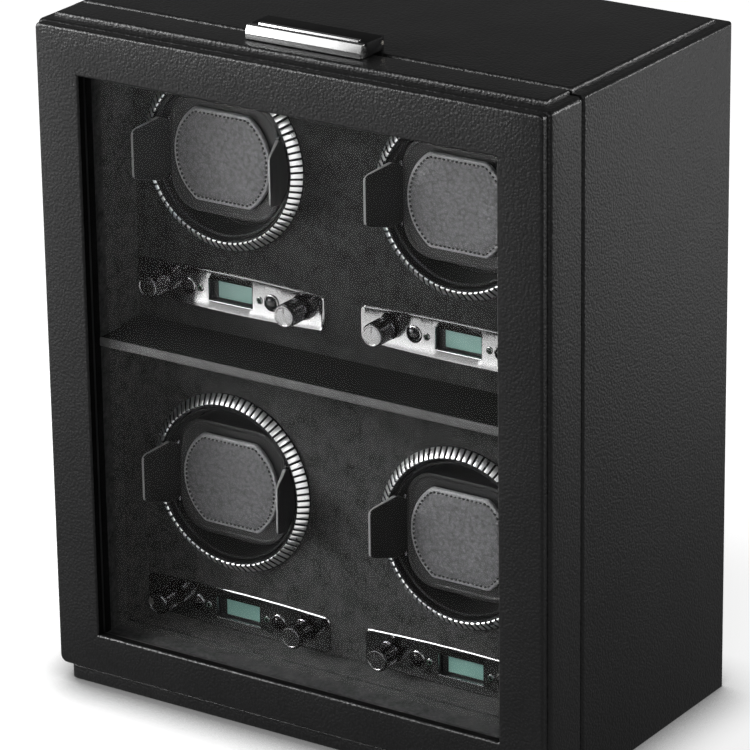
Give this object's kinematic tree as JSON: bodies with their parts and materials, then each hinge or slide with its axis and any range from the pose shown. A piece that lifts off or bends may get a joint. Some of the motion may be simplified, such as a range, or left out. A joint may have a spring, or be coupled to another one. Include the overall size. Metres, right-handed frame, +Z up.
{
  "type": "watch winder box",
  "caption": "Upright leather-wrapped watch winder cabinet with a glazed hinged door, turning drums with pull-out cuffs, and chrome control plates with knobs and buttons.",
  "frame": {"origin": "middle of the flat rest face under the cabinet", "axes": "+Z up, the glazed front faces -Y, +X to the right seen from the front"},
  "size_m": [0.33, 0.192, 0.4028],
  "materials": {
    "leather": "fine pebbled grain, semi-matte black",
    "backing": "black covered board",
    "suede": "dark grey suede",
    "shelf_suede": "grey suede",
    "chrome": "mirror polished",
    "drum_plastic": "satin black",
    "cuff_plastic": "satin black",
    "pad_leather": "grained, stitched edge",
    "knob_plastic": "dark chrome effect",
    "button_plastic": "gloss black",
    "display": "grey-green liquid crystal",
    "circuit": "solder mask green",
    "bracket_metal": "black coated steel",
    "bush": "plain",
    "motor_metal": "zinc plated",
    "steel": "plated",
    "latch_metal": "black",
    "jack_plastic": "black",
    "glass": "clear",
    "gasket": "black"
  },
  "bodies": {
    "cabinet": {"side_panel_left": "leather", "side_panel_right": "leather", "top_board": "leather", "base_board": "leather", "top_cover": "leather", "back_panel": "backing", "compartment_lining": "suede", "winder_panel_lower": "suede", "winder_panel_upper": "suede", "divider_shelf": "shelf_suede", "bezel_rings": "chrome", "control_plates": "chrome", "lcd_panels": "display", "circuit_boards": "circuit", "drive_brackets": "bracket_metal", "bearing_bushes": "bush", "gear_motors": "motor_metal", "hinge_leaves_body": "steel", "hinge_pins": "steel", "latch_pin": "steel", "back_screws": "steel", "latch_base": "latch_metal", "power_jack": "jack_plastic"},
    "door": {"door_frame": "leather", "door_front_panel": "leather", "door_glass": "glass", "glass_gasket": "gasket", "door_top_cover": "leather", "hinge_leaves_door": "steel", "latch_keeper": "steel"},
    "latch": {"latch_flap": "latch_metal", "latch_bar": "chrome"},
    "drum_lower_left_body": {"drum_lower_left": "drum_plastic"},
    "cuff_lower_left_body": {"cuff_lower_left": "cuff_plastic", "cuff_pad_lower_left": "pad_leather"},
    "drum_lower_right_body": {"drum_lower_right": "drum_plastic"},
    "cuff_lower_right_body": {"cuff_lower_right": "cuff_plastic", "cuff_pad_lower_right": "pad_leather"},
    "drum_upper_left_body": {"drum_upper_left": "drum_plastic"},
    "cuff_upper_left_body": {"cuff_upper_left": "cuff_plastic", "cuff_pad_upper_left": "pad_leather"},
    "drum_upper_right_body": {"drum_upper_right": "drum_plastic"},
    "cuff_upper_right_body": {"cuff_upper_right": "cuff_plastic", "cuff_pad_upper_right": "pad_leather"},
    "direction_knob_lower_left_body": {"direction_knob_lower_left": "knob_plastic"},
    "turns_knob_lower_left_body": {"turns_knob_lower_left": "knob_plastic"},
    "start_button_lower_left_body": {"start_button_lower_left": "button_plastic"},
    "delay_button_lower_left_body": {"delay_button_lower_left": "button_plastic"},
    "direction_knob_lower_right_body": {"direction_knob_lower_right": "knob_plastic"},
    "turns_knob_lower_right_body": {"turns_knob_lower_right": "knob_plastic"},
    "start_button_lower_right_body": {"start_button_lower_right": "button_plastic"},
    "delay_button_lower_right_body": {"delay_button_lower_right": "button_plastic"},
    "direction_knob_upper_left_body": {"direction_knob_upper_left": "knob_plastic"},
    "turns_knob_upper_left_body": {"turns_knob_upper_left": "knob_plastic"},
    "start_button_upper_left_body": {"start_button_upper_left": "button_plastic"},
    "delay_button_upper_left_body": {"delay_button_upper_left": "button_plastic"},
    "direction_knob_upper_right_body": {"direction_knob_upper_right": "knob_plastic"},
    "turns_knob_upper_right_body": {"turns_knob_upper_right": "knob_plastic"},
    "start_button_upper_right_body": {"start_button_upper_right": "button_plastic"},
    "delay_button_upper_right_body": {"delay_button_upper_right": "button_plastic"}
  },
  "joints": [
    {"name": "door_swing", "type": "hinge", "parent": "cabinet", "child": "door", "pos_m": [-0.164, -0.05975, 0.2], "axis": [0, 0, -1], "range_deg": [0, 110]},
    {"name": "latch_lift", "type": "hinge", "parent": "cabinet", "child": "latch", "pos_m": [0, -0.054, 0.3985], "axis": [-1, 0, 0], "range_deg": [0, 80]},
    {"name": "drum_spin_lower_left", "type": "hinge", "parent": "cabinet", "child": "drum_lower_left_body", "pos_m": [-0.0765, 0, 0.1202], "axis": [0, 1, 0], "continuous": true},
    {"name": "cuff_pull_lower_left", "type": "slide", "parent": "drum_lower_left_body", "child": "cuff_lower_left_body", "axis": [0, -1, 0], "range_m": [0, 0.015]},
    {"name": "drum_spin_lower_right", "type": "hinge", "parent": "cabinet", "child": "drum_lower_right_body", "pos_m": [0.0765, 0, 0.1202], "axis": [0, 1, 0], "continuous": true},
    {"name": "cuff_pull_lower_right", "type": "slide", "parent": "drum_lower_right_body", "child": "cuff_lower_right_body", "axis": [0, -1, 0], "range_m": [0, 0.015]},
    {"name": "drum_spin_upper_left", "type": "hinge", "parent": "cabinet", "child": "drum_upper_left_body", "pos_m": [-0.0765, 0, 0.312], "axis": [0, 1, 0], "continuous": true},
    {"name": "cuff_pull_upper_left", "type": "slide", "parent": "drum_upper_left_body", "child": "cuff_upper_left_body", "axis": [0, -1, 0], "range_m": [0, 0.015]},
    {"name": "drum_spin_upper_right", "type": "hinge", "parent": "cabinet", "child": "drum_upper_right_body", "pos_m": [0.0765, 0, 0.312], "axis": [0, 1, 0], "continuous": true},
    {"name": "cuff_pull_upper_right", "type": "slide", "parent": "drum_upper_right_body", "child": "cuff_upper_right_body", "axis": [0, -1, 0], "range_m": [0, 0.015]},
    {"name": "direction_turn_lower_left", "type": "hinge", "parent": "cabinet", "child": "direction_knob_lower_left_body", "pos_m": [-0.1208, 0, 0.0412], "axis": [0, 1, 0], "range_deg": [-135, 135]},
    {"name": "turns_turn_lower_left", "type": "hinge", "parent": "cabinet", "child": "turns_knob_lower_left_body", "pos_m": [-0.0288, 0, 0.0412], "axis": [0, 1, 0], "range_deg": [-135, 135]},
    {"name": "start_press_lower_left", "type": "slide", "parent": "cabinet", "child": "start_button_lower_left_body", "axis": [0, 1, 0], "range_m": [0, 0.001], "stiffness_N_per_m": 300},
    {"name": "delay_press_lower_left", "type": "slide", "parent": "cabinet", "child": "delay_button_lower_left_body", "axis": [0, 1, 0], "range_m": [0, 0.001], "stiffness_N_per_m": 300},
    {"name": "direction_turn_lower_right", "type": "hinge", "parent": "cabinet", "child": "direction_knob_lower_right_body", "pos_m": [0.0288, 0, 0.0412], "axis": [0, 1, 0], "range_deg": [-135, 135]},
    {"name": "turns_turn_lower_right", "type": "hinge", "parent": "cabinet", "child": "turns_knob_lower_right_body", "pos_m": [0.1208, 0, 0.0412], "axis": [0, 1, 0], "range_deg": [-135, 135]},
    {"name": "start_press_lower_right", "type": "slide", "parent": "cabinet", "child": "start_button_lower_right_body", "axis": [0, 1, 0], "range_m": [0, 0.001], "stiffness_N_per_m": 300},
    {"name": "delay_press_lower_right", "type": "slide", "parent": "cabinet", "child": "delay_button_lower_right_body", "axis": [0, 1, 0], "range_m": [0, 0.001], "stiffness_N_per_m": 300},
    {"name": "direction_turn_upper_left", "type": "hinge", "parent": "cabinet", "child": "direction_knob_upper_left_body", "pos_m": [-0.1208, 0, 0.233], "axis": [0, 1, 0], "range_deg": [-135, 135]},
    {"name": "turns_turn_upper_left", "type": "hinge", "parent": "cabinet", "child": "turns_knob_upper_left_body", "pos_m": [-0.0288, 0, 0.233], "axis": [0, 1, 0], "range_deg": [-135, 135]},
    {"name": "start_press_upper_left", "type": "slide", "parent": "cabinet", "child": "start_button_upper_left_body", "axis": [0, 1, 0], "range_m": [0, 0.001], "stiffness_N_per_m": 300},
    {"name": "delay_press_upper_left", "type": "slide", "parent": "cabinet", "child": "delay_button_upper_left_body", "axis": [0, 1, 0], "range_m": [0, 0.001], "stiffness_N_per_m": 300},
    {"name": "direction_turn_upper_right", "type": "hinge", "parent": "cabinet", "child": "direction_knob_upper_right_body", "pos_m": [0.0288, 0, 0.233], "axis": [0, 1, 0], "range_deg": [-135, 135]},
    {"name": "turns_turn_upper_right", "type": "hinge", "parent": "cabinet", "child": "turns_knob_upper_right_body", "pos_m": [0.1208, 0, 0.233], "axis": [0, 1, 0], "range_deg": [-135, 135]},
    {"name": "start_press_upper_right", "type": "slide", "parent": "cabinet", "child": "start_button_upper_right_body", "axis": [0, 1, 0], "range_m": [0, 0.001], "stiffness_N_per_m": 300},
    {"name": "delay_press_upper_right", "type": "slide", "parent": "cabinet", "child": "delay_button_upper_right_body", "axis": [0, 1, 0], "range_m": [0, 0.001], "stiffness_N_per_m": 300}
  ]
}
